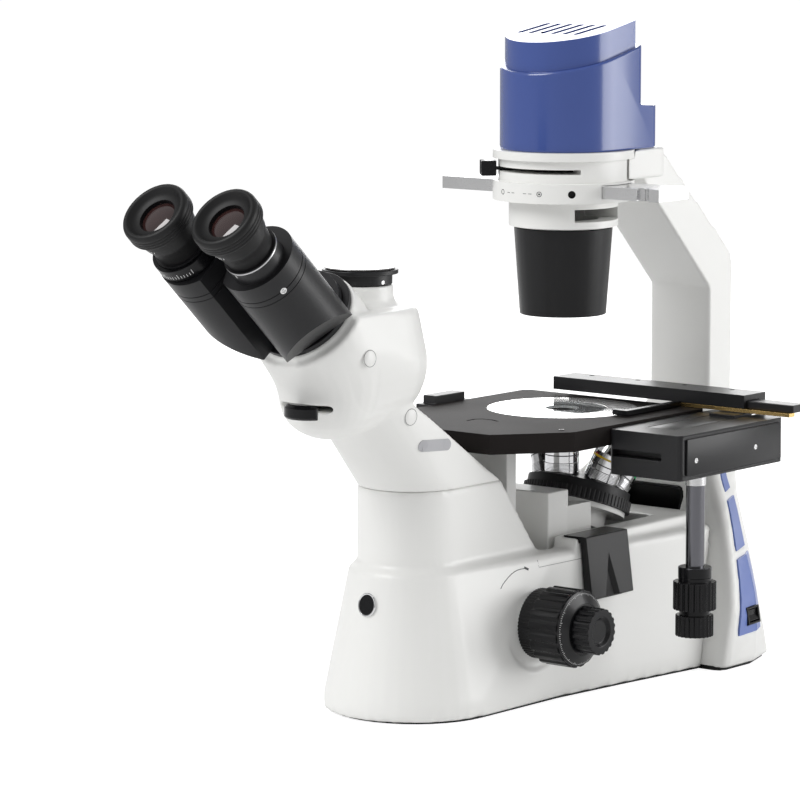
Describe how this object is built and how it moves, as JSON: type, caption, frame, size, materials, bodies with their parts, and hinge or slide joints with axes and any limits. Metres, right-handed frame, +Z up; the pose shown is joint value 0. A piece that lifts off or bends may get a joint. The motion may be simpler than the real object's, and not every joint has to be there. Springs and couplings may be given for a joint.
{
  "type": "inverted microscope",
  "caption": "Inverted laboratory microscope: stage above the nosepiece, lamp and condenser on a column, angled twin eyepieces, photo port and focus knobs.",
  "frame": {"origin": "on the desk plane, straight below the optical axis of the objective in use", "axes": "+Z up, +Y away from the user, +X to the user's right"},
  "size_m": [0.2597, 0.6052, 0.4744],
  "materials": {
    "white_paint": "satin white powder coat",
    "black_plastic": "satin",
    "black_metal": "satin black",
    "blue_plastic": "glossy",
    "chrome": "polished",
    "steel": "brushed",
    "brass": "satin",
    "rubber": "matte",
    "glass": "polished",
    "mirror": "polished",
    "cap_gray": "glossy",
    "gray_metal": "satin"
  },
  "bodies": {
    "stand": {"base_casting": "white_paint", "bottom_plate": "steel", "rubber_rim": "rubber", "column": "white_paint", "trim_panels": "blue_plastic", "column_liner": "black_plastic", "side_covers": "black_plastic", "switch_bezel": "black_plastic", "power_inlet": "black_plastic", "fold_mirrors": "mirror", "tube_lens": "gray_metal", "stage_supports": "white_paint", "stage_plate": "black_metal", "stage_insert": "white_paint", "insert_glass": "glass", "stage_bracket": "black_metal", "drive_housing": "black_metal", "drive_cover": "black_metal", "drive_tube": "chrome", "condenser_cone": "black_metal", "condenser_lens": "glass", "condenser_collar": "white_paint", "condenser_ring": "white_paint", "lamp_house": "blue_plastic", "lamp_cap": "blue_plastic", "lamp_module": "gray_metal", "guide_rail": "steel", "head_housing": "white_paint", "port_ring": "black_metal", "hinge_disc": "black_metal"},
    "nose_lift": {"focus_carriage": "white_paint", "nosepiece_arm": "black_metal"},
    "turret": {"nosepiece_turret": "black_metal", "objective_a": "chrome", "objective_b": "chrome", "objective_c": "chrome", "objective_d": "chrome", "turret_plug": "black_metal"},
    "coarse": {"coarse_knobs": "black_plastic", "focus_shaft": "steel"},
    "fine": {"fine_knobs": "black_plastic"},
    "tension": {"tension_ring": "black_plastic"},
    "y_stage": {"y_carriage": "black_metal", "cross_beam": "black_metal"},
    "x_stage": {"x_slider": "black_metal", "brass_rack": "brass", "clamp_arm": "black_metal"},
    "y_drive": {"y_knob": "black_plastic"},
    "x_drive": {"x_knob": "black_plastic"},
    "iris": {"iris_lever": "black_plastic"},
    "phase": {"phase_slider": "steel"},
    "rocker": {"power_rocker": "black_plastic"},
    "dimmer": {"dimmer_knob": "black_plastic"},
    "lever": {"beam_lever": "black_plastic"},
    "right_tube": {"barrel_right": "black_metal", "eyepiece_right": "black_plastic"},
    "left_tube": {"barrel_left": "black_metal", "eyepiece_left": "black_plastic"},
    "diopter": {"diopter_ring": "black_metal"},
    "cap": {"port_cap": "cap_gray"}
  },
  "joints": [
    {"name": "focus_slide", "type": "slide", "parent": "stand", "child": "nose_lift", "axis": [0, 0, 1], "range_m": [-0.003, 0.005]},
    {"name": "turret_turn", "type": "hinge", "parent": "nose_lift", "child": "turret", "pos_m": [0, 0.02255, 0.13779], "axis": [0, 0.342, 0.9397], "continuous": true},
    {"name": "coarse_turn", "type": "hinge", "parent": "stand", "child": "coarse", "pos_m": [0, -0.109, 0.058], "axis": [1, 0, 0], "range_deg": [-60, 60]},
    {"name": "fine_turn", "type": "hinge", "parent": "coarse", "child": "fine", "pos_m": [0, -0.109, 0.058], "axis": [1, 0, 0], "continuous": true},
    {"name": "tension_turn", "type": "hinge", "parent": "stand", "child": "tension", "pos_m": [0, -0.109, 0.058], "axis": [1, 0, 0], "range_deg": [0, 40]},
    {"name": "stage_y", "type": "slide", "parent": "stand", "child": "y_stage", "axis": [0, 1, 0], "range_m": [-0.07, 0]},
    {"name": "stage_x", "type": "slide", "parent": "y_stage", "child": "x_stage", "axis": [1, 0, 0], "range_m": [-0.1, 0]},
    {"name": "y_knob_turn", "type": "hinge", "parent": "stand", "child": "y_drive", "pos_m": [0.128, -0.014, 0.06], "axis": [0, 0, 1], "range_deg": [-520, 20]},
    {"name": "x_knob_turn", "type": "hinge", "parent": "stand", "child": "x_drive", "pos_m": [0.128, -0.014, 0.06], "axis": [0, 0, 1], "range_deg": [-730, 20]},
    {"name": "iris_swing", "type": "hinge", "parent": "stand", "child": "iris", "pos_m": [0, 0, 0.366], "axis": [0, 0, 1], "range_deg": [0, 90]},
    {"name": "phase_slide", "type": "slide", "parent": "stand", "child": "phase", "axis": [1, 0, 0], "range_m": [-0.034, 0.034]},
    {"name": "rocker_tip", "type": "hinge", "parent": "stand", "child": "rocker", "pos_m": [0.09414, 0.10645, 0.03578], "axis": [-0.1219, 0.9925, 0], "range_deg": [-18, 0]},
    {"name": "dimmer_turn", "type": "hinge", "parent": "stand", "child": "dimmer", "pos_m": [-0.06, -0.15, 0.04], "axis": [-1, 0, 0], "range_deg": [0, 270]},
    {"name": "beam_lever_swing", "type": "hinge", "parent": "stand", "child": "lever", "pos_m": [0, -0.238, 0.224], "axis": [0, 0, 1], "range_deg": [-15, 15]},
    {"name": "right_tube_swing", "type": "hinge", "parent": "stand", "child": "right_tube", "pos_m": [0, -0.3898, 0.37959], "axis": [0, -0.7373, 0.6756], "range_deg": [-13, 36]},
    {"name": "left_tube_swing", "type": "hinge", "parent": "stand", "child": "left_tube", "pos_m": [0, -0.3898, 0.37959], "axis": [0, -0.7373, 0.6756], "range_deg": [-36, 13]},
    {"name": "diopter_turn", "type": "hinge", "parent": "left_tube", "child": "diopter", "pos_m": [-0.03, -0.405, 0.363], "axis": [0, -0.7373, 0.6756], "range_deg": [-90, 90]},
    {"name": "cap_lift", "type": "slide", "parent": "stand", "child": "cap", "axis": [0, 0, 1], "range_m": [0, 0.06]}
  ],
  "couplings": [
    {"joint": "coarse_turn", "follows": "focus_slide", "rad_per_m": 160},
    {"joint": "y_knob_turn", "follows": "stage_y", "rad_per_m": 125},
    {"joint": "x_knob_turn", "follows": "stage_x", "rad_per_m": 125},
    {"joint": "left_tube_swing", "follows": "right_tube_swing", "ratio": -1}
  ]
}
